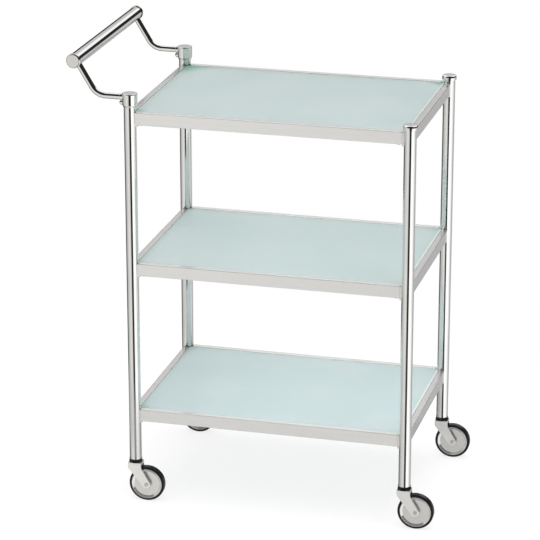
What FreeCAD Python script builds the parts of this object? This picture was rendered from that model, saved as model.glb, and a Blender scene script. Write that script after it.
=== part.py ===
import FreeCAD, Part
import math
import os

from FreeCAD import Vector

# A three-shelf serving cart: four round posts, three glass shelves in steel
# rails, a push handle at the left end and a swivel castor under each post.
# Millimetres. X runs along the cart, away from the handle, Y runs to the back
# and Z up. The origin is on the floor, under the middle of the whole cart.

# Posts
post_spacing_x = 573.0
post_spacing_y = 390.0
post_diameter = 25.0
post_wall = 1.5

# Shelves: heights go from the posts' lower ends to the tops of the rails
lower_shelf_rise = 111.5
shelf_pitch = 319.0
shelf_levels = ("bottom", "middle", "top")
rail_height = 26.0
rail_outboard = 5.5
rail_inboard = 7.5
rail_wall = 1.5
rail_edge_radius = 2.0
lip_depth = 8.0
lip_thickness = 2.0
glass_thickness = 6.0
glass_recess = 1.5
glass_edge_gap = 0.5
glass_post_gap = 1.5
seal_thickness = 1.0
seal_side_gap = 0.5

# Saddles that join the rails to the posts, and the screws that hold the rails
saddle_thickness = 3.5
saddle_side_inset = 0.5
saddle_top_inset = 0.5
saddle_drop = 3.5
saddle_edge_radius = 1.0
tongue_length = 14.0
spigot_diameter = 8.0
spigot_depth = 2.5
rail_screw_diameter = 4.0
rail_screw_grip = 6.0
rail_screw_head_diameter = 7.0
rail_screw_head_height = 1.2

# Caps on the right-hand posts
post_cap_rise = 5.0
post_cap_diameter = 30.0
post_cap_thickness = 9.5
post_cap_edge_radius = 5.0
post_cap_plug_length = 14.0

# Handle: a bar on two bent rods, which leave collars on the left-hand posts.
# Each collar has a boss for the rod and a smaller one below for a set screw.
bar_reach = 111.5
bar_rise = 101.0
bar_diameter = 27.0
bar_wall = 1.5
bar_overhang = 13.0
bar_cap_diameter = 30.0
bar_cap_thickness = 6.0
bar_cap_edge_radius = 3.0
bar_cap_plug_length = 6.0
rod_diameter = 12.0
rod_rise = 30.0
rod_slope = 59.0
rod_bend_radius = 33.0
rod_depth_in_bar = 8.0
collar_diameter = 31.0
collar_rise = 10.5
collar_height = 28.0
collar_top_wall = 3.0
collar_top_radius = 2.0
collar_taper_height = 5.0
collar_lip_wall = 0.8
boss_reach = 4.0
boss_edge_radius = 1.0
rod_boss_rim = 1.0
screw_boss_diameter = 10.0
screw_drop = 11.5
set_screw_diameter = 5.0
set_screw_proud = 1.5
set_screw_socket = 2.5
set_screw_socket_depth = 1.5

# Castors
wheel_diameter = 75.0
wheel_width = 15.0
tyre_depth = 5.5
tyre_edge_radius = 2.5
rim_width = 0.8
rim_slope_width = 4.0
web_thickness = 9.0
hub_diameter = 15.0
hub_side_gap = 0.4
axle_diameter = 6.0
axle_head_diameter = 8.0
axle_head_height = 1.4
axle_head_radius = 0.7
axle_socket = 3.5
axle_socket_depth = 1.0
castor_trail = 24.5
castor_turn = 2.0
wheel_top_gap = 3.2
fork_gap = 20.0
fork_plate_thickness = 3.0
fork_crown_thickness = 6.0
fork_crown_length = 28.0
fork_crown_side = 11.0
fork_corner_radius = 7.5
fork_end_radius = 9.0
fork_edge_radius = 0.8
ring_height = 7.0
ring_top_diameter = 27.0
ring_waist_diameter = 24.8
ring_base_diameter = 28.0
ring_base_height = 2.0
stem_diameter = 10.0
stem_head_diameter = 16.0
stem_head_height = 2.0
stem_plug_length = 32.0

# Clearances
fit_gap = 0.1
running_gap = 0.05
swivel_gap = 0.3
overrun = 2.0

# Directions and turns
ALONG_X = Vector(1, 0, 0)
ALONG_Y = Vector(0, 1, 0)
ALONG_Z = Vector(0, 0, 1)
CENTRE = Vector(0, 0, 0)
full_turn = 360.0
half_turn = full_turn / 2
quarter_turn = full_turn / 4
socket_sides = 6
# How far an edge's direction may miss an axis and still count as parallel
parallel_share = 0.001

# Sizes that follow from the ones above
half_x = post_spacing_x / 2
half_y = post_spacing_y / 2
post_radius = post_diameter / 2
post_bore_radius = post_radius - post_wall
wheel_radius = wheel_diameter / 2
fork_top = 2 * wheel_radius + wheel_top_gap + fork_crown_thickness
ring_base = fork_top + swivel_gap
post_base = ring_base + ring_height
shelf_tops = {
    level: post_base + lower_shelf_rise + index * shelf_pitch
    for index, level in enumerate(shelf_levels)
}
top_shelf = shelf_tops[shelf_levels[-1]]
right_post_top = top_shelf + post_cap_rise
left_post_top = top_shelf + collar_rise + collar_height - collar_top_wall
rail_end = post_radius + saddle_thickness
tongue_middle = (rail_inboard - rail_outboard) / 2
lip_top = -(glass_recess + glass_thickness + seal_thickness)
rod_height = top_shelf + rod_rise
set_screw_height = rod_height - screw_drop
bar_half_length = half_y + bar_overhang
handle_reach = half_x + bar_reach + bar_cap_diameter / 2
tyre_reach = (
    (castor_trail + wheel_radius - tyre_edge_radius) * math.cos(math.radians(castor_turn))
    + (wheel_width / 2 - tyre_edge_radius) * math.sin(math.radians(castor_turn))
    + tyre_edge_radius
)
wheel_reach = half_x + tyre_reach
cart_middle = (handle_reach - wheel_reach) / 2

corners = {
    "front_left": (-1, -1),
    "front_right": (1, -1),
    "back_left": (-1, 1),
    "back_right": (1, 1),
}
# Each side of a shelf: the turn from the front side, and the half spacings
# along it and across it
sides = {
    "front": (0, half_x, half_y),
    "right": (quarter_turn, half_y, half_x),
    "back": (half_turn, half_x, half_y),
    "left": (-quarter_turn, half_y, half_x),
}


def cylinder(radius, height, base, axis=ALONG_Z):
    return Part.makeCylinder(radius, height, base, axis)


def block(low, high):
    size = high - low
    return Part.makeBox(size.x, size.y, size.z, low)


def edges_along(shape, axis, keep=None):
    """Straight edges parallel to an axis, whose middle passes the test if there is one."""
    found = []
    for edge in shape.Edges:
        if edge.Curve.TypeId != "Part::GeomLine":
            continue
        if abs(edge.tangentAt(edge.FirstParameter).dot(axis)) < 1 - parallel_share:
            continue
        if keep is None or keep(edge.CenterOfMass):
            found.append(edge)
    return found


def circles_at(shape, height, radius):
    """Round edges across Z at one height and radius."""
    return [
        edge
        for edge in shape.Edges
        if edge.Curve.TypeId == "Part::GeomCircle"
        and abs(edge.CenterOfMass.z - height) < running_gap
        and abs(edge.Curve.Radius - radius) < running_gap
    ]


def extrusion(points, depth):
    """A closed outline of points, extruded along a vector."""
    return Part.Face(Part.makePolygon(points + points[:1])).extrude(depth)


def hex_socket(across_flats, depth, base, axis):
    """A six-sided hole to cut, from a base point along an axis."""
    corner_radius = across_flats / math.sqrt(3)
    side = Vector(0, 0, corner_radius)
    turn = full_turn / socket_sides
    points = []
    for index in range(socket_sides):
        points.append(base + FreeCAD.Rotation(axis, index * turn).multVec(side))
    return extrusion(points, axis * depth)


def tangent_point(outside, centre, radius, hand):
    """Where the line from a point in the XZ plane touches a circle."""
    towards = outside - centre
    opening = math.degrees(math.acos(radius / towards.Length))
    spoke = FreeCAD.Rotation(ALONG_Y, hand * opening).multVec(towards)
    return centre + spoke.normalize() * radius


def post(sign_x, sign_y, top):
    """A tube with a hole for each saddle's spigot on its two inner sides."""
    tube = cylinder(post_radius, top - post_base, Vector(0, 0, post_base))
    tube = tube.cut(
        cylinder(post_bore_radius, top - post_base + 2 * overrun, Vector(0, 0, post_base - overrun))
    )
    hole_radius = spigot_diameter / 2 + fit_gap
    for shelf_top in shelf_tops.values():
        middle = Vector(0, 0, shelf_top - rail_height / 2)
        for inward in (ALONG_X * -sign_x, ALONG_Y * -sign_y):
            tube = tube.cut(cylinder(hole_radius, post_radius + overrun, middle, inward))
    return tube


def rail(half_spacing):
    """A hollow rail along X with its outer face to -Y, its top at Z 0 and a
    lip on its inner face for the glass, on the line of the post axes."""
    half_length = half_spacing - rail_end
    body = block(
        Vector(-half_length, -rail_outboard, -rail_height),
        Vector(half_length, rail_inboard, 0),
    )
    body = body.makeFillet(rail_edge_radius, edges_along(body, ALONG_X))
    body = body.cut(
        block(
            Vector(-half_length - overrun, rail_wall - rail_outboard, rail_wall - rail_height),
            Vector(half_length + overrun, rail_inboard - rail_wall, -rail_wall),
        )
    )
    lip = block(
        Vector(-half_length, rail_inboard - rail_wall, lip_top - lip_thickness),
        Vector(half_length, rail_inboard + lip_depth, lip_top),
    )
    body = body.fuse(lip)
    for end in (-1, 1):
        body = body.cut(
            cylinder(
                rail_screw_diameter / 2 + fit_gap,
                rail_wall + 2 * overrun,
                Vector(end * screw_place(half_spacing), tongue_middle, -rail_height - overrun),
            )
        )
    return body.removeSplitter()


def screw_place(half_spacing):
    """How far along the rail its screws stand: the middle of the tongue."""
    return half_spacing - rail_end - tongue_length / 2


def saddle(half_spacing):
    """The block between the rail's right end and the post: hollowed to sit on
    the post, with a spigot into it and a tongue into the rail."""
    end = half_spacing - rail_end
    body = block(
        Vector(end, saddle_side_inset - rail_outboard, -(rail_height + saddle_drop)),
        Vector(half_spacing, rail_inboard - saddle_side_inset, -saddle_top_inset),
    )
    body = body.makeFillet(saddle_edge_radius, edges_along(body, ALONG_X))
    body = body.cut(
        cylinder(
            post_radius + fit_gap,
            rail_height + saddle_drop + 2 * overrun,
            Vector(half_spacing, 0, -(rail_height + saddle_drop) - overrun),
        )
    )
    tongue = block(
        Vector(end - tongue_length, rail_wall - rail_outboard + fit_gap, rail_wall - rail_height + fit_gap),
        Vector(end, rail_inboard - rail_wall - fit_gap, -rail_wall - fit_gap),
    )
    spigot = cylinder(
        spigot_diameter / 2,
        saddle_thickness + spigot_depth,
        Vector(end, 0, -rail_height / 2),
        ALONG_X,
    )
    thread = cylinder(
        rail_screw_diameter / 2 + running_gap,
        rail_screw_grip + fit_gap + overrun,
        Vector(screw_place(half_spacing), tongue_middle, rail_wall - rail_height - overrun),
    )
    return body.fuse([tongue, spigot]).cut(thread).removeSplitter()


def rail_screw(half_spacing):
    """A screw up through the rail's lower wall into the saddle's tongue."""
    under = Vector(screw_place(half_spacing), tongue_middle, -rail_height)
    head = cylinder(rail_screw_head_diameter / 2, rail_screw_head_height, under, ALONG_Z * -1)
    shank = cylinder(rail_screw_diameter / 2, rail_wall + rail_screw_grip, under)
    return head.fuse(shank).removeSplitter()


def seal_strip(half_spacing):
    """A flat strip on the rail's lip, under the glass."""
    half_length = half_spacing - rail_end
    return block(
        Vector(-half_length, rail_inboard + seal_side_gap, lip_top),
        Vector(half_length, rail_inboard + lip_depth - seal_side_gap, lip_top + seal_thickness),
    )


def glass_pane():
    """A sheet between the rails, with its corners hollowed round the posts."""
    half_length = half_x - rail_inboard - glass_edge_gap
    half_width = half_y - rail_inboard - glass_edge_gap
    pane = block(
        Vector(-half_length, -half_width, -(glass_recess + glass_thickness)),
        Vector(half_length, half_width, -glass_recess),
    )
    for sign_x, sign_y in corners.values():
        base = Vector(sign_x * half_x, sign_y * half_y, -(glass_recess + glass_thickness + overrun))
        notch = cylinder(post_radius + glass_post_gap, glass_thickness + 2 * overrun, base)
        pane = pane.cut(notch)
    return pane


def on_side(shape, side, shelf_top):
    """Moves a piece made on the front side to another side of a shelf."""
    turn, along, across = sides[side]
    placed = shape.copy()
    placed.translate(Vector(0, -across, shelf_top))
    placed.rotate(CENTRE, ALONG_Z, turn)
    return placed


def both_ends(shape):
    """A piece and its mirror image at the other end of the rail."""
    return [shape, shape.mirror(CENTRE, ALONG_X)]


def round_cap(diameter, thickness, edge_radius, plug_radius, plug_length):
    """A round cap that stands on Z 0 with its plug below."""
    cap = cylinder(diameter / 2, thickness, CENTRE)
    cap = cap.makeFillet(edge_radius, circles_at(cap, thickness, diameter / 2))
    plug = cylinder(plug_radius, plug_length, CENTRE, ALONG_Z * -1)
    return cap.fuse(plug).removeSplitter()


def collar_boss(diameter, height):
    """A round boss to -X on the collar, with its outer edge rounded."""
    length = collar_diameter / 2 + boss_reach
    boss = cylinder(diameter / 2, length, CENTRE)
    boss = boss.makeFillet(boss_edge_radius, circles_at(boss, length, diameter / 2))
    boss.rotate(CENTRE, ALONG_Y, -quarter_turn)
    boss.translate(ALONG_Z * height)
    return boss


def handle_collar():
    """A closed sleeve over the post's top, on the post axis, with a boss that
    holds the rod and a smaller one below it for the set screw."""
    base = top_shelf + collar_rise
    top = base + collar_height
    radius = collar_diameter / 2
    straight = cylinder(radius, collar_height - collar_taper_height, Vector(0, 0, base + collar_taper_height))
    straight = straight.makeFillet(collar_top_radius, circles_at(straight, top, radius))
    taper = Part.makeCone(
        post_radius + collar_lip_wall, radius, collar_taper_height, Vector(0, 0, base)
    )
    rod_boss = collar_boss(rod_diameter + 2 * rod_boss_rim, rod_height)
    screw_boss = collar_boss(screw_boss_diameter, set_screw_height)
    collar = straight.fuse([taper, rod_boss, screw_boss])
    collar = collar.cut(
        cylinder(
            post_radius + fit_gap,
            collar_height - collar_top_wall + overrun,
            Vector(0, 0, base - overrun),
        )
    )
    outward = ALONG_X * -1
    reach = radius + boss_reach + overrun
    rod_hole = cylinder(rod_diameter / 2 + fit_gap, reach, Vector(0, 0, rod_height), outward)
    screw_hole = cylinder(
        set_screw_diameter / 2 + running_gap, reach, Vector(0, 0, set_screw_height), outward
    )
    return collar.cut([rod_hole, screw_hole]).removeSplitter()


def set_screw():
    """A socket screw through the lower boss, against the post."""
    tip = -(post_radius + fit_gap)
    end = -(collar_diameter / 2 + boss_reach + set_screw_proud)
    outward = ALONG_X * -1
    screw = cylinder(set_screw_diameter / 2, tip - end, Vector(tip, 0, set_screw_height), outward)
    socket = hex_socket(
        set_screw_socket,
        set_screw_socket_depth,
        Vector(end, 0, set_screw_height),
        ALONG_X,
    )
    return screw.cut(socket)


def rod_directions():
    """The rod's two straight runs, leaving the collar and reaching the bar."""
    slope = math.radians(rod_slope)
    return ALONG_X * -1, Vector(-math.cos(slope), 0, math.sin(slope))


def rod_points():
    """The rod's start at the post, its corner and the bar's axis, measured
    from the post axis at the height of the top shelf."""
    start = Vector(-(post_radius + swivel_gap), 0, rod_rise)
    bar_axis = Vector(-bar_reach, 0, bar_rise)
    run = (bar_rise - rod_rise) / math.tan(math.radians(rod_slope))
    corner = Vector(-bar_reach + run, 0, rod_rise)
    return start, corner, bar_axis


def handle_rod():
    """A round rod: level out of the collar, one bend, then up to the bar."""
    level, rising = rod_directions()
    start, corner, bar_axis = rod_points()
    trim = rod_bend_radius * math.tan(math.radians(rod_slope) / 2)
    bend_start = corner - level * trim
    bend_end = corner + rising * trim
    bisector = (rising - level).normalize()
    bend_centre = corner + bisector * (rod_bend_radius / math.cos(math.radians(rod_slope) / 2))
    bend_middle = bend_centre - bisector * rod_bend_radius
    end = bar_axis - rising * (bar_diameter / 2 - rod_depth_in_bar)
    path = Part.Wire(
        [
            Part.LineSegment(start, bend_start).toShape(),
            Part.Arc(bend_start, bend_middle, bend_end).toShape(),
            Part.LineSegment(bend_end, end).toShape(),
        ]
    )
    section = Part.Wire(Part.Circle(start, level, rod_diameter / 2).toShape())
    return path.makePipeShell([section], True, False)


def handle_bar():
    """A tube along Y with a hole for each rod in its wall."""
    start, corner, bar_axis = rod_points()
    level, rising = rod_directions()
    front_end = bar_axis - ALONG_Y * bar_half_length
    tube = cylinder(bar_diameter / 2, 2 * bar_half_length, front_end, ALONG_Y)
    bore = cylinder(
        bar_diameter / 2 - bar_wall,
        2 * (bar_half_length + overrun),
        front_end - ALONG_Y * overrun,
        ALONG_Y,
    )
    tube = tube.cut(bore)
    for sign_y in (-1, 1):
        hole = cylinder(
            rod_diameter / 2 + fit_gap,
            bar_diameter / 2 + overrun,
            bar_axis + ALONG_Y * (sign_y * half_y),
            rising * -1,
        )
        tube = tube.cut(hole)
    return tube


def castor_ring():
    """The black ring under the post: waisted, with a wider base."""
    waist_height = ring_base_height + (ring_height - ring_base_height) / 2
    outline = [
        Vector(stem_diameter / 2 + fit_gap, 0, 0),
        Vector(ring_base_diameter / 2, 0, 0),
        Vector(ring_base_diameter / 2, 0, ring_base_height),
        Vector(ring_waist_diameter / 2, 0, waist_height),
        Vector(ring_top_diameter / 2, 0, ring_height),
        Vector(stem_diameter / 2 + fit_gap, 0, ring_height),
    ]
    face = Part.Face(Part.makePolygon(outline + outline[:1]))
    ring = face.revolve(CENTRE, ALONG_Z, full_turn)
    ring.translate(Vector(0, 0, ring_base))
    return ring


def castor_stem():
    """The pin that the fork turns on, with its plug in the post above and its
    riveted head under the fork's crown."""
    plug = cylinder(post_bore_radius - fit_gap, stem_plug_length, Vector(0, 0, post_base))
    head_top = fork_top - fork_crown_thickness - swivel_gap
    pin = cylinder(stem_diameter / 2, post_base - head_top, Vector(0, 0, head_top))
    head = cylinder(
        stem_head_diameter / 2, stem_head_height, Vector(0, 0, head_top - stem_head_height)
    )
    return plug.fuse([pin, head]).removeSplitter()


def fork_plate(near):
    """One side plate of the fork, from near outwards along Y: its crown narrows
    through two rounded corners to the eye for the axle."""
    half_crown = fork_crown_length / 2
    eye = Vector(castor_trail, 0, wheel_radius)
    upper_left = Vector(-half_crown, 0, fork_top)
    upper_right = Vector(half_crown, 0, fork_top)
    lower_left = Vector(-half_crown, 0, fork_top - fork_crown_side)
    lower_right = Vector(half_crown, 0, fork_top - fork_crown_side)
    left_touch = tangent_point(lower_left, eye, fork_end_radius, -1)
    right_touch = tangent_point(lower_right, eye, fork_end_radius, 1)
    away = (eye * 2 - lower_left - lower_right).normalize()
    lines = [
        Part.LineSegment(right_touch, lower_right),
        Part.LineSegment(lower_right, upper_right),
        Part.LineSegment(upper_right, upper_left),
        Part.LineSegment(upper_left, lower_left),
        Part.LineSegment(lower_left, left_touch),
        Part.Arc(left_touch, eye + away * fork_end_radius, right_touch),
    ]
    outline = Part.Wire([line.toShape() for line in lines])
    plate = Part.Face(outline).extrude(ALONG_Y * fork_plate_thickness)
    corner_height = lower_left.z
    corner_edges = edges_along(
        plate,
        ALONG_Y,
        lambda middle: abs(middle.z - corner_height) < running_gap
        and abs(abs(middle.x) - half_crown) < running_gap,
    )
    plate = plate.makeFillet(fork_corner_radius, corner_edges)
    plate.translate(ALONG_Y * near)
    return plate


def fork():
    """Two side plates and the crown that joins them above the wheel."""
    half_width = fork_gap / 2 + fork_plate_thickness
    crown = block(
        Vector(-fork_crown_length / 2, -half_width, fork_top - fork_crown_thickness),
        Vector(fork_crown_length / 2, half_width, fork_top),
    )
    body = crown.fuse([fork_plate(-half_width), fork_plate(fork_gap / 2)]).removeSplitter()
    outer = [
        edge
        for edge in body.Edges
        if abs(abs(edge.BoundBox.YMin) - half_width) < running_gap
        and edge.BoundBox.YLength < running_gap
    ]
    body = body.makeFillet(fork_edge_radius, outer)
    pin_hole = cylinder(
        stem_diameter / 2 + running_gap,
        fork_crown_thickness + 2 * overrun,
        Vector(0, 0, fork_top - fork_crown_thickness - overrun),
    )
    axle_hole = cylinder(
        axle_diameter / 2 + fit_gap,
        2 * (half_width + overrun),
        Vector(castor_trail, -(half_width + overrun), wheel_radius),
        ALONG_Y,
    )
    return body.cut([pin_hole, axle_hole])


def axle():
    """A pin through both plates and the hub, with a socket head each end."""
    half_width = fork_gap / 2 + fork_plate_thickness
    centre = Vector(castor_trail, 0, wheel_radius)
    pin = cylinder(axle_diameter / 2, 2 * half_width, centre - ALONG_Y * half_width, ALONG_Y)
    pieces = []
    for sign_y in (-1, 1):
        head = cylinder(axle_head_diameter / 2, axle_head_height, CENTRE)
        head = head.makeFillet(
            axle_head_radius, circles_at(head, axle_head_height, axle_head_diameter / 2)
        )
        head.rotate(CENTRE, ALONG_X, -sign_y * quarter_turn)
        head.translate(centre + ALONG_Y * (sign_y * half_width))
        pieces.append(head)
    body = pin.fuse(pieces).removeSplitter()
    for sign_y in (-1, 1):
        face = centre + ALONG_Y * (sign_y * (half_width + axle_head_height))
        body = body.cut(hex_socket(axle_socket, axle_socket_depth, face, ALONG_Y * -sign_y))
    return body


def turned(outline):
    """A closed outline of (radius, place along Y) turned about the axle."""
    points = [Vector(radius, along, 0) for radius, along in outline]
    face = Part.Face(Part.makePolygon(points + points[:1]))
    shape = face.revolve(CENTRE, ALONG_Y, full_turn)
    shape.translate(Vector(castor_trail, 0, wheel_radius))
    return shape


def wheel_hub():
    """A web with a sloping rim round it and a boss on the axle."""
    bore = axle_diameter / 2 + running_gap
    boss = hub_diameter / 2
    seat = wheel_radius - tyre_depth
    rim = seat - rim_width
    web = rim - rim_slope_width
    boss_side = fork_gap / 2 - hub_side_gap
    side = wheel_width / 2
    face = web_thickness / 2
    near = [(bore, -boss_side), (boss, -boss_side), (boss, -face), (web, -face), (rim, -side)]
    far = [(radius, -along) for radius, along in reversed(near)]
    return turned(near + [(seat, -side), (seat, side)] + far)


def tyre():
    """A solid ring on the rim, rounded at both edges of its tread."""
    seat = wheel_radius - tyre_depth
    side = wheel_width / 2
    ring = turned(
        [(seat, -side), (wheel_radius, -side), (wheel_radius, side), (seat, side)]
    )
    edges = [
        edge
        for edge in ring.Edges
        if edge.Curve.TypeId == "Part::GeomCircle"
        and abs(edge.Curve.Radius - wheel_radius) < running_gap
    ]
    return ring.makeFillet(tyre_edge_radius, edges)


def moved(shape, x, y, z=0):
    placed = shape.copy()
    placed.translate(Vector(x, y, z))
    return placed


def posts_and_caps():
    """The posts, the caps on the right-hand ones and the left-hand collars."""
    nodes = {}
    cap = round_cap(
        post_cap_diameter,
        post_cap_thickness,
        post_cap_edge_radius,
        post_bore_radius - fit_gap,
        post_cap_plug_length,
    )
    collar = handle_collar()
    for name, (sign_x, sign_y) in corners.items():
        x = sign_x * half_x
        y = sign_y * half_y
        if sign_x > 0:
            nodes["post_" + name] = moved(post(sign_x, sign_y, right_post_top), x, y)
            nodes["post_cap_" + name] = moved(cap, x, y, right_post_top)
        else:
            nodes["post_" + name] = moved(post(sign_x, sign_y, left_post_top), x, y)
            nodes["handle_collar_" + name] = moved(collar, x, y)
    return nodes


def shelf(level, shelf_top):
    """Four rails, the glass, its seal, and the saddles and screws."""
    nodes = {}
    saddles = []
    screws = []
    strips = []
    for side, (turn, along, across) in sides.items():
        nodes[side + "_rail_" + level] = on_side(rail(along), side, shelf_top)
        strips.append(on_side(seal_strip(along), side, shelf_top))
        for piece in both_ends(saddle(along)):
            saddles.append(on_side(piece, side, shelf_top))
        for piece in both_ends(rail_screw(along)):
            screws.append(on_side(piece, side, shelf_top))
    nodes["glass_shelf_" + level] = moved(glass_pane(), 0, 0, shelf_top)
    nodes["glass_seal_" + level] = Part.makeCompound(strips)
    nodes["rail_saddles_" + level] = Part.makeCompound(saddles)
    nodes["rail_screws_" + level] = Part.makeCompound(screws)
    return nodes


def handle():
    """The bar, its end caps, its two rods and the collars' set screws."""
    start, corner, bar_axis = rod_points()
    nodes = {"handle_bar": moved(handle_bar(), -half_x, 0, top_shelf)}
    cap = round_cap(
        bar_cap_diameter,
        bar_cap_thickness,
        bar_cap_edge_radius,
        bar_diameter / 2 - bar_wall - fit_gap,
        bar_cap_plug_length,
    )
    screws = []
    for name, sign_y in (("front", -1), ("back", 1)):
        end_cap = cap.copy()
        end_cap.rotate(CENTRE, ALONG_X, -sign_y * quarter_turn)
        end_cap.translate(bar_axis + ALONG_Y * (sign_y * bar_half_length))
        nodes["handle_cap_" + name] = moved(end_cap, -half_x, 0, top_shelf)
        nodes["handle_rod_" + name] = moved(handle_rod(), -half_x, sign_y * half_y, top_shelf)
        screws.append(moved(set_screw(), -half_x, sign_y * half_y))
    nodes["handle_set_screws"] = Part.makeCompound(screws)
    return nodes


def castors():
    """A ring, fork, axle, hub and tyre under each post, and the four stems."""
    nodes = {}
    pieces = {
        "castor_ring_": castor_ring(),
        "castor_fork_": fork(),
        "castor_axle_": axle(),
        "castor_hub_": wheel_hub(),
        "castor_tyre_": tyre(),
    }
    stems = []
    for name, (sign_x, sign_y) in corners.items():
        x = sign_x * half_x
        y = sign_y * half_y
        for kind, shape in pieces.items():
            trailing = shape.copy()
            trailing.rotate(CENTRE, ALONG_Z, castor_turn)
            nodes[kind + name] = moved(trailing, x, y)
        stems.append(moved(castor_stem(), x, y))
    nodes["castor_stems"] = Part.makeCompound(stems)
    return nodes


def build():
    nodes = posts_and_caps()
    for level, shelf_top in shelf_tops.items():
        nodes.update(shelf(level, shelf_top))
    nodes.update(handle())
    nodes.update(castors())
    os.makedirs("parts", exist_ok=True)
    for name, shape in nodes.items():
        moved(shape, cart_middle, 0).exportStep("parts/" + name + ".step")


build()
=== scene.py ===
import math

import bpy
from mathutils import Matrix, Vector


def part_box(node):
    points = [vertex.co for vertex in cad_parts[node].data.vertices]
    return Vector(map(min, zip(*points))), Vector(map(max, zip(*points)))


# The looks of a glass and steel serving cart: the finish of every piece, a
# plain pale floor, the soft studio that the plating reflects, the lamps and
# the camera. Lengths are in metres. X points to the cart's right, Y to its
# back and Z up.

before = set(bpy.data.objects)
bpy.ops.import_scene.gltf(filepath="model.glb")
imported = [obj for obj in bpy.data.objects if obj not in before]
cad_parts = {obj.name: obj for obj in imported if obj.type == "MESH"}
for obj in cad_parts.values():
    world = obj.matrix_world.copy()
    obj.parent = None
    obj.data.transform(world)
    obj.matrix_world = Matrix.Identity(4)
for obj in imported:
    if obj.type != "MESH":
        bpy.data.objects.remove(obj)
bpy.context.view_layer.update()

LEVELS = ("bottom", "middle", "top")
FRONT_AND_BACK = ("front", "back")
LEFT_AND_RIGHT = ("left", "right")
LEFT_CORNERS = ("front_left", "back_left")
RIGHT_CORNERS = ("front_right", "back_right")
# Which way each corner lies from the middle, along X and Y
CORNER_SIGNS = {
    "front_left": (-1, -1),
    "front_right": (1, -1),
    "back_left": (-1, 1),
    "back_right": (1, 1),
}
CORNERS = tuple(CORNER_SIGNS)
WHITE = (1.0, 1.0, 1.0, 1.0)

# Camera: where it looks from, and how far it looks past the shelves' middle
camera_azimuth = math.radians(14.7)
camera_elevation = math.radians(19.0)
camera_distance = 5.7405
camera_lens_mm = 184.17
sensor_width_mm = 36.0
look_height = 0.520
look_right = -0.0465
look_up = -0.0511
toward_camera = (math.sin(camera_azimuth), -math.cos(camera_azimuth), 0.0)
camera_right = (math.cos(camera_azimuth), math.sin(camera_azimuth), 0.0)

# In the finishes, scales are a noise's features per metre, and a range is the
# pair of values between which an effect comes in or goes out.

# Plating: its hairlines' scales are along and across the tube
hairline_scales = (5.0, 900.0)
hairline_range = (0.45, 0.8)
hairline_depth = 0.00002
smudge_scales = (9.0, 9.0, 7.0)
smudge_range = (0.52, 0.78)
smudge_roughness = 0.05
plating_tone_scales = (26.0, 26.0, 12.0)
plating_tone_range = (0.35, 0.68)
plating_dark_share = 0.95

# Satin: its streaks' scales are along and across the brushing
fine_streak_scales = (14.0, 1900.0)
coarse_streak_scales = (3.0, 420.0)
fine_streak_share = 0.6
streak_range = (0.35, 0.65)
streak_depth = 0.00003
satin_tone_range = (0.33, 0.65)
satin_dark_share = 0.965
satin_light_share = 1.04
satin_cloud_scales = (11.0, 11.0, 11.0)
satin_cloud_range = (0.4, 0.75)
satin_cloud_roughness = 0.07

# Mouldings
moulding_patch_scales = (60.0, 60.0, 60.0)
moulding_tone_range = (0.42, 0.75)
moulding_light_share = 1.6
moulding_light_lift = 0.004
moulding_gloss_range = (0.3, 0.7)
moulding_rough_share = 1.35

# Glass: the darker and the lighter tone of each pane, and its matt surface
glass_tones = {
    "bottom": ((0.600, 0.716, 0.722), (0.640, 0.735, 0.745)),
    "middle": ((0.600, 0.716, 0.706), (0.640, 0.735, 0.728)),
    "top": ((0.600, 0.716, 0.706), (0.640, 0.735, 0.728)),
}
glass_cloud_scales = (7.0, 7.0, 7.0)
glass_tone_range = (0.35, 0.65)
glass_gloss_range = (0.3, 0.7)
glass_roughness = (0.42, 0.52)
glass_refraction = 1.5
glass_clearness = 0.3
etch_scales = (2600.0, 2600.0, 2600.0)
etch_depth = 0.00003

# Glass: the green along its edges, and the painted shade and reflection of the
# posts at some corners, as strength and reach past the part that the rails hide
edge_green = (0.52, 0.70, 0.64)
edge_green_range = (0.002, 0.016)
edge_green_share = 0.25
# A darker green at some corners: painted shade and reflection of the posts
corner_shade_green = (0.24, 0.53, 0.39)
corner_hidden = 0.012
corner_cloud_range = (0.38, 0.62)
corner_weakest_share = 0.6
corner_shade_tints = {
    "bottom": {
        "front_left": (0.6, 0.026),
        "front_right": (0.12, 0.03),
        "back_left": (0.5, 0.03),
        "back_right": (0.2, 0.03),
    },
    "middle": {
        "front_left": (0.3, 0.02),
        "back_left": (0.15, 0.03),
        "back_right": (0.3, 0.03),
    },
    "top": {
        "front_left": (0.6, 0.022),
        "back_left": (0.9, 0.075),
        "back_right": (0.75, 0.035),
    },
}

# Glass: a painted highlight along the right-hand edge, for the light that the
# rail's polished inner wall throws onto the pane
painted_highlight_colour = (0.90, 0.92, 0.91)
painted_highlight_range = (0.004, 0.0052)
painted_highlight_share = 0.8

# Floor: a disc that fades out with the distance from the area under the cart
floor_radius = 3.6
floor_sides = 96
floor_solid_half = (0.38, 0.21)
floor_fade_range = (0.25, 1.1)

# Floor: its paper's two tones as it lights the cart, as polished pieces
# mirror it and as the camera sees it, where a glow brings it up to white
fibre_scales = (60.0, 60.0, 60.0)
paper_lit = ((0.78, 0.78, 0.775), (0.82, 0.82, 0.815))
paper_mirrored = ((0.52, 0.52, 0.517), (0.56, 0.56, 0.557))
paper_seen = ((0.29, 0.29, 0.288), (0.31, 0.31, 0.308))
floor_glow = 0.76

# Floor: how much of it polished pieces mirror, in general and in one patch by
# the front left castor, with the patch's two rims as distances from its place
floor_mirror_share = 0.05
floor_mirror_reach = 1.9
patch_place = (-0.38, -0.21, 0.0)
patch_share = 0.5
patch_inner_rim = (0.18, 0.32)
patch_outer_rim = (0.50, 0.80)

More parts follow.
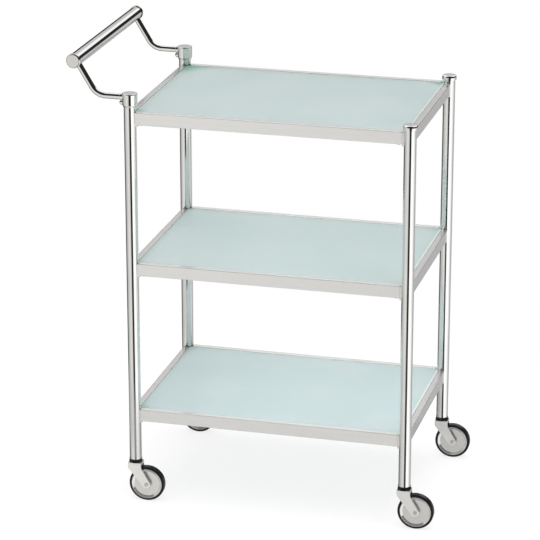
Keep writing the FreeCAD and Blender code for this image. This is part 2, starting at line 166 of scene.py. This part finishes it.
# Studio: what the plating reflects. Turns are in degrees from the camera's
# direction to its right, elevations in degrees.
ambient_level = 0.62
ceiling_level = 0.02
pale_wall = (0.85, 0.84, 0.81)
duller_wall = (0.66, 0.65, 0.63)
wall_levels = (
    (-180, 0.06),
    (-120, 0.06),
    (-113, 0.38),
    (-98, 0.53),
    (-78, 0.68),
    (-52, pale_wall),
    (-30, pale_wall),
    (-24, duller_wall),
    (-18, duller_wall),
    (-14, 0.02),
    (16, 0.02),
    (21, 1.25),
    (62, 1.25),
    (70, 1.0),
    (86, 0.98),
    (104, 0.47),
    (133, 0.47),
    (141, 0.62),
    (148, 0.62),
    (152, 0.50),
    (170, 0.45),
    (178, 0.10),
)
wall_tops = (
    (-180, -12),
    (-120, -12),
    (-112, 60),
    (-92, 55),
    (-78, 34),
    (-60, 18),
    (-36, 12),
    (-16, 14),
    (4, 8),
    (14, 0),
    (76, 0),
    (97, 2),
    (120, 3),
    (141, -3),
    (150, -5),
    (172, -10),
)
# The soft box: its levels at the foot and the top, its foot's elevations, and
# where its front edge lies and slants back to the sides. Its blurred edges
# and rises are in sines of the elevation or parts of the unit direction.
box_foot_levels = (
    (-180, 0.60),
    (-170, 0.60),
    (-158, 1.05),
    (158, 1.1),
    (170, 0.60),
)
box_top_level = 1.15
box_rise_range = (0.34, 0.62)
box_feet = (
    (-180, 10),
    (-150, 14),
    (-125, 22),
    (-100, 40),
    (-80, 60),
    (-50, 84),
    (60, 84),
    (90, 60),
    (109, 42),
    (125, 28),
    (140, 17),
    (148, 16),
    (165, 11),
)
box_front_range = (-0.39, -0.31)
box_side_share = 0.7
studio_blur_range = (-0.03, 0.03)

# Lamps: two large soft ones
lamp_size = 2.6
lamp_above_place = (0.1, -0.4, 2.6)
lamp_above_power = 30.0
lamp_front_distance = 2.8
lamp_front_shift = (-0.8, 0.0, 1.3)
lamp_front_power = 16.0

# Lamps: flat ones under two panes, as power and move along X and Y
shelf_lamps = {
    "middle": (1.56, (0.06, 0.0)),
    "top": (1.3, (0.01, 0.03)),
}
shelf_lamp_reach = 0.06
shelf_lamp_drop = 0.03


def node(tree, kind, inputs=None, **settings):
    """Adds a shader node with its settings, and with values or links for its inputs."""
    made = tree.nodes.new("ShaderNode" + kind)
    for name, value in settings.items():
        setattr(made, name, value)
    for name, value in (inputs or {}).items():
        if isinstance(value, bpy.types.NodeSocket):
            tree.links.new(value, made.inputs[name])
        else:
            made.inputs[name].default_value = value
    return made


def math_node(tree, operation, first, second=0.0, third=0.0):
    values = {0: first, 1: second, 2: third}
    return node(tree, "Math", values, operation=operation).outputs[0]


def vector_math(tree, operation, first, second=(0.0, 0.0, 0.0)):
    """A vector operation that gives one number."""
    made = node(tree, "VectorMath", {0: first, 1: second}, operation=operation)
    return made.outputs["Value"]


def smooth_step(tree, value, span, low=0.0, high=1.0):
    """A smooth change from low to high as the value goes through the span."""
    made = node(
        tree,
        "MapRange",
        {"Value": value, "From Min": span[0], "From Max": span[1], "To Min": low, "To Max": high},
        interpolation_type="SMOOTHSTEP",
    )
    return made.outputs["Result"]


def ramp(tree, value, stops):
    """A colour ramp with (place, grey level or colour) stops."""
    made = node(tree, "ValToRGB", {"Fac": value})
    elements = made.color_ramp.elements
    while len(elements) < len(stops):
        elements.new(1.0)
    for element, (place_on_ramp, level) in zip(elements, stops):
        colour = (level, level, level) if isinstance(level, float) else level
        element.position = place_on_ramp
        element.color = (*colour, 1.0)
    return made.outputs["Color"]


def mix_colour(tree, share, first, second):
    """A mix of two colours, each a socket or three numbers."""
    colours = []
    for colour in (first, second):
        colours.append(colour if isinstance(colour, bpy.types.NodeSocket) else (*colour, 1.0))
    inputs = {0: share, 6: colours[0], 7: colours[1]}
    return node(tree, "Mix", inputs, data_type="RGBA").outputs[2]


def mix_value(tree, share, first, second):
    return node(tree, "Mix", {0: share, 2: first, 3: second}, data_type="FLOAT").outputs[0]


def mix_shader(tree, share, first, second):
    return node(tree, "MixShader", {0: share, 1: first, 2: second}).outputs[0]


def new_material(name):
    """A node material with only a Principled shader; gives its tree and the shader."""
    material = bpy.data.materials.new(name)
    material.use_nodes = True
    tree = material.node_tree
    shader = tree.nodes["Principled BSDF"]
    return material, tree, shader


def connect(tree, shader, colour, roughness, normal):
    """Links a finish's colour, roughness and bumped normal to its shader."""
    for name, socket in (("Base Color", colour), ("Roughness", roughness), ("Normal", normal)):
        tree.links.new(socket, shader.inputs[name])


def place(tree):
    """The place on the piece, in metres of the cart's frame at rest."""
    return node(tree, "TexCoord").outputs["Object"]


def noise(tree, position, scales, detail=3.0, roughness=0.5, distortion=0.0):
    """Noise with its own number of features per metre along each axis."""
    stretched = node(tree, "Mapping", {"Vector": position, "Scale": scales}).outputs["Vector"]
    made = node(
        tree,
        "TexNoise",
        {
            "Vector": stretched,
            "Scale": 1.0,
            "Detail": detail,
            "Roughness": roughness,
            "Distortion": distortion,
        },
    )
    return made.outputs["Fac"]


def bump(tree, height, depth, strength):
    inputs = {"Height": height, "Distance": depth, "Strength": strength}
    return node(tree, "Bump", inputs).outputs["Normal"]


def along(axes, with_grain, across):
    """Noise scales that are long along the named axes and fine across them."""
    return tuple(with_grain if axis in axes else across for axis in "XYZ")


def scaled(colour, share, lift=0.0):
    return tuple(level * share + lift for level in colour)


def plated(name, colour, grain, roughness=0.07, hairline=0.03):
    """Polished plating: hairlines along the tube, faint smudges and uneven tone.
    The hairlines add up to their own value to the roughness."""
    material, tree, shader = new_material(name)
    position = place(tree)
    hairlines = noise(tree, position, along(grain, *hairline_scales), detail=4.0, roughness=0.7)
    smudges = noise(tree, position, smudge_scales, detail=5.0, roughness=0.62, distortion=0.6)
    tone = smooth_step(tree, noise(tree, position, plating_tone_scales), plating_tone_range)
    shade = mix_colour(tree, tone, colour, scaled(colour, plating_dark_share))
    marks = smooth_step(tree, smudges, smudge_range, 0.0, smudge_roughness)
    lines = smooth_step(tree, hairlines, hairline_range, 0.0, hairline)
    added = math_node(tree, "ADD", marks, lines)
    spread = math_node(tree, "ADD", added, roughness)
    connect(tree, shader, shade, spread, bump(tree, hairlines, hairline_depth, strength=0.25))
    shader.inputs["Metallic"].default_value = 1.0
    return material


def brushed(name, colour, grain, roughness, streak, mirror_share=1.0):
    """Satin metal brushed along one axis, with cloudier patches here and there.
    The streaks add up to their own value to the roughness. What the satin
    doesn't mirror it scatters evenly, so that it isn't black from any side."""
    material, tree, shader = new_material(name)
    position = place(tree)
    fine = noise(tree, position, along(grain, *fine_streak_scales), roughness=0.6)
    coarse = noise(tree, position, along(grain, *coarse_streak_scales), detail=4.0, roughness=0.6)
    clouds = noise(tree, position, satin_cloud_scales, detail=4.0, roughness=0.6)
    coarse_part = math_node(tree, "MULTIPLY", coarse, 1.0 - fine_streak_share)
    streaks = math_node(tree, "MULTIPLY_ADD", fine, fine_streak_share, coarse_part)
    darker = scaled(colour, satin_dark_share)
    lighter = scaled(colour, satin_light_share)
    shade = mix_colour(tree, smooth_step(tree, streaks, satin_tone_range), darker, lighter)
    dull = smooth_step(tree, clouds, satin_cloud_range, 0.0, satin_cloud_roughness)
    lined = smooth_step(tree, streaks, streak_range, 0.0, streak)
    added = math_node(tree, "ADD", dull, lined)
    spread = math_node(tree, "ADD", added, roughness)
    connect(tree, shader, shade, spread, bump(tree, streaks, streak_depth, strength=0.3))
    shader.inputs["Metallic"].default_value = mirror_share
    return material


def moulded(name, colour, roughness, grain_scale, bump_depth=0.00004, shine=0.5):
    """Moulded plastic or rubber with a fine grain and slightly uneven gloss."""
    material, tree, shader = new_material(name)
    position = place(tree)
    grain = noise(tree, position, (grain_scale,) * 3, roughness=0.6)
    patches = noise(tree, position, moulding_patch_scales)
    lighter = scaled(colour, moulding_light_share, moulding_light_lift)
    shade = mix_colour(tree, smooth_step(tree, patches, moulding_tone_range), colour, lighter)
    roughest = roughness * moulding_rough_share
    spread = smooth_step(tree, patches, moulding_gloss_range, roughness, roughest)
    connect(tree, shader, shade, spread, bump(tree, grain, bump_depth, strength=0.5))
    shader.inputs["Specular IOR Level"].default_value = shine
    return material


def places_on_pane(tree, position, middle, half):
    """Where a place lies on a pane: its offsets from the middle along X and Y,
    and its gap to the nearest edge."""
    parts = node(tree, "SeparateXYZ", {"Vector": position})
    offsets = []
    gaps = []
    for axis, axis_name in enumerate("XY"):
        offset = math_node(tree, "SUBTRACT", parts.outputs[axis_name], middle[axis])
        offsets.append(offset)
        gaps.append(math_node(tree, "SUBTRACT", half[axis], math_node(tree, "ABSOLUTE", offset)))
    return offsets, math_node(tree, "MINIMUM", *gaps)


def corner_nearness(tree, offsets, half, signs, reach):
    """How near a place is to one corner of a pane: 1 at the corner, 0 past the reach."""
    gaps = []
    for axis in (0, 1):
        gaps.append(math_node(tree, "MULTIPLY_ADD", offsets[axis], -signs[axis], half[axis]))
    gap = math_node(tree, "ADD", *gaps)
    return smooth_step(tree, gap, (corner_hidden, corner_hidden + reach), 1.0, 0.0)


def frosted_glass(level):
    """Etched pale green glass: cloudy and matt, with painted shade and reflection
    of the posts at some corners and a painted highlight along the right-hand edge."""
    material, tree, shader = new_material("etched_glass_" + level)
    position = place(tree)
    low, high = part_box("glass_shelf_" + level)
    half = (high - low) / 2
    offsets, edge_gap = places_on_pane(tree, position, (low + high) / 2, half)
    cloud = noise(tree, position, glass_cloud_scales, roughness=0.55)
    etch = noise(tree, position, etch_scales, detail=2.0, roughness=0.6)
    face = mix_colour(tree, smooth_step(tree, cloud, glass_tone_range), *glass_tones[level])
    near_edge = smooth_step(tree, edge_gap, edge_green_range, edge_green_share, 0.0)
    face = mix_colour(tree, near_edge, face, edge_green)
    # Painted shade and reflection of the posts: a darker green at some corners.
    for corner, (strength, reach) in corner_shade_tints[level].items():
        near = corner_nearness(tree, offsets, half, CORNER_SIGNS[corner], reach)
        weakest = corner_weakest_share * strength
        uneven = smooth_step(tree, cloud, corner_cloud_range, weakest, strength)
        face = mix_colour(tree, math_node(tree, "MULTIPLY", near, uneven), face, corner_shade_green)
    # A painted highlight: a pale line along the right-hand edge, for the light that the rail's
    # inner wall throws onto the pane.
    right_gap = math_node(tree, "SUBTRACT", half[0], offsets[0])
    painted_highlight = smooth_step(tree, right_gap, painted_highlight_range, painted_highlight_share, 0.0)
    face = mix_colour(tree, painted_highlight, face, painted_highlight_colour)
    spread = smooth_step(tree, cloud, glass_gloss_range, *glass_roughness)
    connect(tree, shader, face, spread, bump(tree, etch, etch_depth, strength=0.3))
    shader.inputs["IOR"].default_value = glass_refraction
    shader.inputs["Transmission Weight"].default_value = glass_clearness
    return material


def dress(node_name, material):
    """Gives a CAD node its material."""
    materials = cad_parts[node_name].data.materials
    materials.clear()
    materials.append(material)


def dress_posts_and_caps():
    tube = plated("post_plating", (0.85, 0.85, 0.84), "Z")
    cap = plated("cap_plating", (0.86, 0.85, 0.85), "Z", roughness=0.06, hairline=0.02)
    for corner in CORNERS:
        dress("post_" + corner, tube)
    for corner in RIGHT_CORNERS:
        dress("post_cap_" + corner, cap)


def dress_handle():
    bar = plated("bar_plating", (0.87, 0.87, 0.86), "Y", roughness=0.06)
    end_cap = brushed("bar_end_plating", (0.74, 0.73, 0.71), "X", roughness=0.14, streak=0.04)
    rod = plated("rod_plating", (0.86, 0.86, 0.84), "XZ", roughness=0.04, hairline=0.02)
    collar = plated("collar_plating", (0.84, 0.84, 0.82), "Z")
    dress("handle_bar", bar)
    for end in FRONT_AND_BACK:
        dress("handle_cap_" + end, end_cap)
        dress("handle_rod_" + end, rod)
    for corner in LEFT_CORNERS:
        dress("handle_collar_" + corner, collar)


def dress_shelves():
    lengthwise = brushed(
        "rail_satin_lengthwise",
        (0.77, 0.76, 0.75),
        "X",
        roughness=0.12,
        streak=0.05,
        mirror_share=0.5,
    )
    crosswise = brushed(
        "rail_satin_crosswise",
        (0.73, 0.72, 0.71),
        "Y",
        roughness=0.12,
        streak=0.05,
        mirror_share=0.75,
    )
    saddle = plated("saddle_plating", (0.82, 0.81, 0.80), "Z", roughness=0.10)
    seal = moulded("seal_rubber", (0.30, 0.31, 0.30), roughness=0.6, grain_scale=900.0)
    screw = plated("screw_plating", (0.62, 0.62, 0.61), "Z", roughness=0.22)
    # Painted shade: the set screws are near black, to stand in for the shade and dark reflection
    # at the boss under each handle rod.
    screw_painted_dark = plated("screw_painted_shade", (0.14, 0.14, 0.15), "X", roughness=0.25)
    for level in LEVELS:
        for side in FRONT_AND_BACK:
            dress(side + "_rail_" + level, lengthwise)
        for side in LEFT_AND_RIGHT:
            dress(side + "_rail_" + level, crosswise)
        dress("rail_saddles_" + level, saddle)
        dress("glass_shelf_" + level, frosted_glass(level))
        dress("glass_seal_" + level, seal)
        dress("rail_screws_" + level, screw)
    dress("handle_set_screws", screw_painted_dark)
    dress("castor_stems", screw)


def dress_castors():
    ring = moulded(
        "ring_gloss", (0.006, 0.006, 0.007), roughness=0.10, grain_scale=500.0, bump_depth=0.00001
    )
    fork = brushed(
        "fork_plating", (0.87, 0.86, 0.84), "Z", roughness=0.13, streak=0.04, mirror_share=0.65
    )
    hub = brushed(
        "hub_plating", (0.76, 0.75, 0.73), "X", roughness=0.09, streak=0.03, mirror_share=0.7
    )
    axle = plated("axle_plating", (0.72, 0.72, 0.71), "Y", roughness=0.12)
    tyre = moulded(
        "tyre_rubber", (0.006, 0.006, 0.007), roughness=0.26, grain_scale=1200.0, shine=0.35
    )
    for corner in CORNERS:
        dress("castor_ring_" + corner, ring)
        dress("castor_fork_" + corner, fork)
        dress("castor_hub_" + corner, hub)
        dress("castor_axle_" + corner, axle)
        dress("castor_tyre_" + corner, tyre)


def floor_paper(tree, position, rays):
    """The floor's surface: pale paper, dimmer where polished pieces mirror it,
    and with a glow of its own for the camera."""
    fibre = noise(tree, position, fibre_scales, detail=4.0)
    papers = []
    for tones in (paper_lit, paper_mirrored, paper_seen):
        colour = mix_colour(tree, fibre, *tones)
        papers.append(node(tree, "BsdfDiffuse", {"Color": colour}).outputs[0])
    lit, mirrored, seen = papers
    unseen = mix_shader(tree, rays["Is Glossy Ray"], lit, mirrored)
    glow = node(tree, "Emission", {"Color": WHITE, "Strength": floor_glow}).outputs[0]
    shown = node(tree, "AddShader", {0: seen, 1: glow}).outputs[0]
    return mix_shader(tree, rays["Is Camera Ray"], unseen, shown)


def floor_fade(tree, position, rays):
    """How clear the floor is: clearer with the distance from the cart, and for
    polished pieces almost clear all over but in one patch."""
    parts = node(tree, "SeparateXYZ", {"Vector": position})
    outside = []
    for axis_name, half in zip("XY", floor_solid_half):
        reach = math_node(tree, "ABSOLUTE", parts.outputs[axis_name])
        outside.append(math_node(tree, "MAXIMUM", math_node(tree, "SUBTRACT", reach, half), 0.0))
    away = node(tree, "CombineXYZ", {"X": outside[0], "Y": outside[1]}).outputs["Vector"]
    distance = vector_math(tree, "LENGTH", away)
    far = smooth_step(tree, distance, floor_fade_range)
    even_share = smooth_step(tree, distance, (0.0, floor_mirror_reach), floor_mirror_share, 0.0)
    to_patch = vector_math(tree, "DISTANCE", position, patch_place)
    past_inner_rim = smooth_step(tree, to_patch, patch_inner_rim, 0.0, patch_share)
    in_patch = smooth_step(tree, to_patch, patch_outer_rim, past_inner_rim, 0.0)
    mirror_share = math_node(tree, "MAXIMUM", even_share, in_patch)
    unmirrored = math_node(tree, "SUBTRACT", 1.0, mirror_share)
    return mix_value(tree, rays["Is Glossy Ray"], far, unmirrored)


def floor_material():
    material, tree, shader = new_material("floor_paper")
    tree.nodes.remove(shader)
    position = place(tree)
    rays = node(tree, "LightPath").outputs
    paper = floor_paper(tree, position, rays)
    fade = floor_fade(tree, position, rays)
    clear = node(tree, "BsdfTransparent").outputs[0]
    surface = mix_shader(tree, fade, paper, clear)
    tree.links.new(surface, tree.nodes["Material Output"].inputs["Surface"])
    return material


def make_floor():
    """A round pale floor that fades into the backdrop and keeps the cart's shadow."""
    mesh = bpy.data.meshes.new("floor")
    rim = []
    for index in range(floor_sides):
        angle = 2 * math.pi * index / floor_sides
        rim.append((floor_radius * math.cos(angle), floor_radius * math.sin(angle), 0.0))
    mesh.from_pydata(rim, [], [tuple(range(floor_sides))])
    floor = bpy.data.objects.new("floor", mesh)
    bpy.context.scene.collection.objects.link(floor)
    mesh.materials.append(floor_material())


def turn_ramp(tree, turn_share, stops):
    """A ramp round the studio, from (turn in degrees, grey level or colour).
    The share is 0 and 1 behind, and a half in the camera's direction."""
    return ramp(tree, turn_share, [(0.5 + turn / 360.0, level) for turn, level in stops])


def elevation_ramp(tree, turn_share, stops):
    """The sine of an elevation that follows the turn, from (turn, elevation) in degrees.
    A ramp holds only 0 to 1, so the sines are brought into that and back."""
    levels = []
    for turn, elevation in stops:
        levels.append((turn, 0.5 + 0.5 * math.sin(math.radians(elevation))))
    return math_node(tree, "MULTIPLY_ADD", turn_ramp(tree, turn_share, levels), 2.0, -1.0)


def above(tree, up, limit):
    """Whether a direction is above a limit, both as sines, with a blurred edge."""
    return smooth_step(tree, math_node(tree, "SUBTRACT", up, limit), studio_blur_range)


def studio_colour(tree):
    """What polished pieces mirror: pale walls and floor low down, a dark ceiling
    in front, and a soft box overhead that reaches down behind."""
    direction = node(tree, "TexCoord").outputs["Generated"]
    front = vector_math(tree, "DOT_PRODUCT", direction, toward_camera)
    side = vector_math(tree, "DOT_PRODUCT", direction, camera_right)
    up = vector_math(tree, "DOT_PRODUCT", direction, (0.0, 0.0, 1.0))
    turn = math_node(tree, "ARCTAN2", side, front)
    turn_share = math_node(tree, "MULTIPLY_ADD", turn, 0.5 / math.pi, 0.5)

    over_walls = above(tree, up, elevation_ramp(tree, turn_share, wall_tops))
    low_band = turn_ramp(tree, turn_share, wall_levels)
    walls = mix_colour(tree, over_walls, low_band, (ceiling_level,) * 3)

    past_foot = above(tree, up, elevation_ramp(tree, turn_share, box_feet))
    sideways = math_node(tree, "ABSOLUTE", side)
    forward_of_box = math_node(tree, "MULTIPLY_ADD", sideways, -box_side_share, front)
    behind_edge = smooth_step(tree, forward_of_box, box_front_range, 1.0, 0.0)
    in_box = math_node(tree, "MULTIPLY", past_foot, behind_edge)
    foot_level = turn_ramp(tree, turn_share, box_foot_levels)
    level = smooth_step(tree, up, box_rise_range, foot_level, box_top_level)
    box = node(tree, "CombineColor", {0: level, 1: level, 2: level}).outputs[0]
    return mix_colour(tree, in_box, walls, box)


def background(tree, colour, strength):
    inputs = {"Color": colour, "Strength": strength}
    return node(tree, "Background", inputs).outputs[0]


def make_studio():
    """The world: white to the camera and through glass, plain to matt surfaces,
    and the studio to the plating."""
    world = bpy.data.worlds.new("studio")
    world.use_nodes = True
    bpy.context.scene.world = world
    tree = world.node_tree
    tree.nodes.clear()
    rays = node(tree, "LightPath").outputs
    ambient = background(tree, WHITE, ambient_level)
    mirrored = background(tree, studio_colour(tree), 1.0)
    lit = mix_shader(tree, rays["Is Glossy Ray"], ambient, mirrored)
    seen = math_node(tree, "MAXIMUM", rays["Is Camera Ray"], rays["Is Transmission Ray"])
    surface = mix_shader(tree, seen, lit, background(tree, WHITE, 1.0))
    tree.links.new(surface, node(tree, "OutputWorld").inputs["Surface"])


def new_lamp(name, shape, power):
    """An area lamp that polished pieces don't show; gives its data and its object."""
    data = bpy.data.lights.new(name, "AREA")
    data.shape = shape
    data.energy = power
    lamp = bpy.data.objects.new(name, data)
    bpy.context.scene.collection.objects.link(lamp)
    lamp.visible_glossy = False
    return data, lamp


def add_soft_lamp(name, position, target, power):
    """A large square lamp that points at a target."""
    data, lamp = new_lamp(name, "SQUARE", power)
    data.size = lamp_size
    lamp.location = position
    lamp.rotation_euler = (target - position).to_track_quat("-Z", "Y").to_euler()


def add_shelf_lamp(level, power, move):
    """A flat lamp under one pane, which lights the pane below evenly."""
    low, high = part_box("glass_shelf_" + level)
    middle = (low + high) / 2
    size = high - low
    data, lamp = new_lamp("lamp_under_" + level, "RECTANGLE", power)
    data.size = size.x + 2 * shelf_lamp_reach
    data.size_y = size.y + 2 * shelf_lamp_reach
    lamp.location = (middle.x + move[0], middle.y + move[1], low.z - shelf_lamp_drop)
    lamp.visible_camera = False
    lamp.visible_transmission = False


def make_lamps():
    target = Vector((0.0, 0.0, look_height))
    add_soft_lamp("lamp_above", Vector(lamp_above_place), target, lamp_above_power)
    front = Vector(toward_camera) * lamp_front_distance + Vector(lamp_front_shift)
    add_soft_lamp("lamp_front", front, target, lamp_front_power)
    for level, (power, move) in shelf_lamps.items():
        add_shelf_lamp(level, power, move)


def make_camera():
    """The photograph's viewpoint: a long lens from the front, a little to the right."""
    data = bpy.data.cameras.new("camera")
    data.sensor_width = sensor_width_mm
    data.lens = camera_lens_mm
    level_share = math.cos(camera_elevation)
    back = Vector(
        (
            toward_camera[0] * level_share,
            toward_camera[1] * level_share,
            math.sin(camera_elevation),
        )
    )
    right = Vector(camera_right)
    up = back.cross(right)
    low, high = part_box("glass_shelf_top")
    target = Vector(((low.x + high.x) / 2, 0.0, look_height)) + right * look_right + up * look_up
    camera = bpy.data.objects.new("camera", data)
    bpy.context.scene.collection.objects.link(camera)
    camera.location = target + back * camera_distance
    camera.rotation_euler = back.to_track_quat("Z", "Y").to_euler()
    bpy.context.scene.camera = camera


bpy.context.scene.view_settings.view_transform = "Standard"
make_camera()
make_studio()
make_floor()
make_lamps()
dress_posts_and_caps()
dress_handle()
dress_shelves()
dress_castors()
